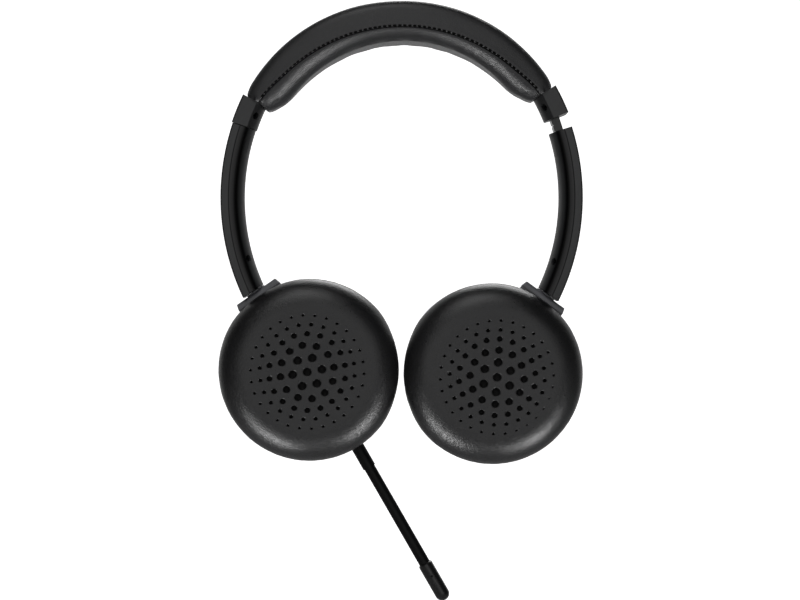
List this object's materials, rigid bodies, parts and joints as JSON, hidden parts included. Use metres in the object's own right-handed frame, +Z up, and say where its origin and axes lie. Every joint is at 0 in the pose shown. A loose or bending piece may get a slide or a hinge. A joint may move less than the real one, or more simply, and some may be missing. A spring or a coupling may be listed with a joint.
{
  "type": "office headset",
  "caption": "Over-the-head wireless office headset with padded headband, sliding arms, swivelling and tilting on-ear cups with perforated cushions, and a rotating microphone boom.",
  "frame": {"origin": "lowest point of the headband pad, where it rests on the head, on the plane of symmetry of the headband", "axes": "+Z up through the crown of the headband, +X towards the cup without the boom, -Y the way the flat-folded ear cushions face"},
  "size_m": [0.1492, 0.0388, 0.2468],
  "materials": {
    "protein_leather": "fine-grain matt protein leather",
    "inner_plastic": "moulded",
    "steel": "bright",
    "moulded_plastic": "fine spark-eroded texture",
    "rail_plastic": "smooth",
    "film": "thin film",
    "mesh_fabric": "open weave",
    "button_plastic": "satin",
    "lens": "frosted light pipe"
  },
  "bodies": {
    "headband": {"headband_cover": "protein_leather", "headband_core": "inner_plastic", "headband_spring": "steel", "headband_pad": "protein_leather", "end_cap_left": "moulded_plastic", "end_cap_right": "moulded_plastic", "cap_screws": "steel", "slide_rail_left": "rail_plastic", "slide_rail_right": "rail_plastic"},
    "arm_left": {"arm_inner_shell_left": "moulded_plastic", "arm_outer_shell_left": "moulded_plastic", "arm_screw_left": "steel", "detent_spring_left": "steel", "swivel_bush_left": "rail_plastic"},
    "yoke_left": {"yoke_left": "moulded_plastic", "swivel_axle_left": "steel"},
    "cup_left": {"cup_housing_left": "moulded_plastic", "cup_cover_left": "moulded_plastic", "tilt_pin_left": "steel", "baffle_left": "inner_plastic", "baffle_screws_left": "steel", "driver_basket_left": "moulded_plastic", "driver_magnet_left": "steel", "diaphragm_left": "film", "acoustic_mesh_left": "mesh_fabric", "cushion_ring_left": "moulded_plastic", "ear_cushion_left": "protein_leather", "battery": "inner_plastic"},
    "arm_right": {"arm_inner_shell_right": "moulded_plastic", "arm_outer_shell_right": "moulded_plastic", "arm_screw_right": "steel", "detent_spring_right": "steel", "swivel_bush_right": "rail_plastic"},
    "yoke_right": {"yoke_right": "moulded_plastic", "swivel_axle_right": "steel"},
    "cup_right": {"cup_housing_right": "moulded_plastic", "cup_cover_right": "moulded_plastic", "tilt_pin_right": "steel", "baffle_right": "inner_plastic", "baffle_screws_right": "steel", "driver_basket_right": "moulded_plastic", "driver_magnet_right": "steel", "diaphragm_right": "film", "acoustic_mesh_right": "mesh_fabric", "cushion_ring_right": "moulded_plastic", "ear_cushion_right": "protein_leather", "circuit_board": "inner_plastic", "usb_socket": "steel", "status_lens": "lens"},
    "boom": {"boom_hub": "moulded_plastic", "hub_clip": "steel", "boom_arm": "moulded_plastic", "mic_housing": "moulded_plastic", "mic_capsule": "steel"},
    "volume_up_button": {"volume_up_button": "button_plastic"},
    "volume_down_button": {"volume_down_button": "button_plastic"},
    "call_button": {"call_button": "button_plastic"},
    "power_slider": {"power_slider": "button_plastic"}
  },
  "joints": [
    {"name": "arm_slide_left", "type": "slide", "parent": "headband", "child": "arm_left", "axis": [-0.3453, 0, -0.9385], "range_m": [0, 0.02]},
    {"name": "arm_slide_right", "type": "slide", "parent": "headband", "child": "arm_right", "axis": [0.274, 0, -0.9617], "range_m": [-0.0047, 0.015]},
    {"name": "cup_swivel_left", "type": "hinge", "parent": "arm_left", "child": "yoke_left", "pos_m": [-0.06099, 0, -0.10002], "axis": [-0.5476, 0, 0.8368], "range_deg": [0, 90]},
    {"name": "cup_swivel_right", "type": "hinge", "parent": "arm_right", "child": "yoke_right", "pos_m": [0.0574, 0, -0.10472], "axis": [-0.6088, 0, -0.7934], "range_deg": [0, 90]},
    {"name": "cup_tilt_left", "type": "hinge", "parent": "yoke_left", "child": "cup_left", "pos_m": [-0.0571, 0.0015, -0.10596], "axis": [0.8368, 0, 0.5476], "range_deg": [-6, 6]},
    {"name": "cup_tilt_right", "type": "hinge", "parent": "yoke_right", "child": "cup_right", "pos_m": [0.05308, 0.0015, -0.11035], "axis": [0.7934, 0, -0.6088], "range_deg": [-6, 6]},
    {"name": "boom_turn", "type": "hinge", "parent": "cup_left", "child": "boom", "pos_m": [-0.0398, 0.015, -0.1324], "axis": [0, -1, 0], "range_deg": [-135, 135]},
    {"name": "volume_up_button_press", "type": "slide", "parent": "cup_right", "child": "volume_up_button", "axis": [0.3827, 0, 0.9239], "range_m": [0, 0.0006], "stiffness_N_per_m": 1200, "springref_m": -0.0004},
    {"name": "volume_down_button_press", "type": "slide", "parent": "cup_right", "child": "volume_down_button", "axis": [0.7934, 0, 0.6088], "range_m": [0, 0.0006], "stiffness_N_per_m": 1200, "springref_m": -0.0004},
    {"name": "call_button_press", "type": "slide", "parent": "cup_right", "child": "call_button", "axis": [0.6088, 0, 0.7934], "range_m": [0, 0.0006], "stiffness_N_per_m": 1200, "springref_m": -0.0004},
    {"name": "power_slide", "type": "slide", "parent": "cup_right", "child": "power_slider", "axis": [0.0436, 0, -0.999], "range_m": [0, 0.003]}
  ]
}
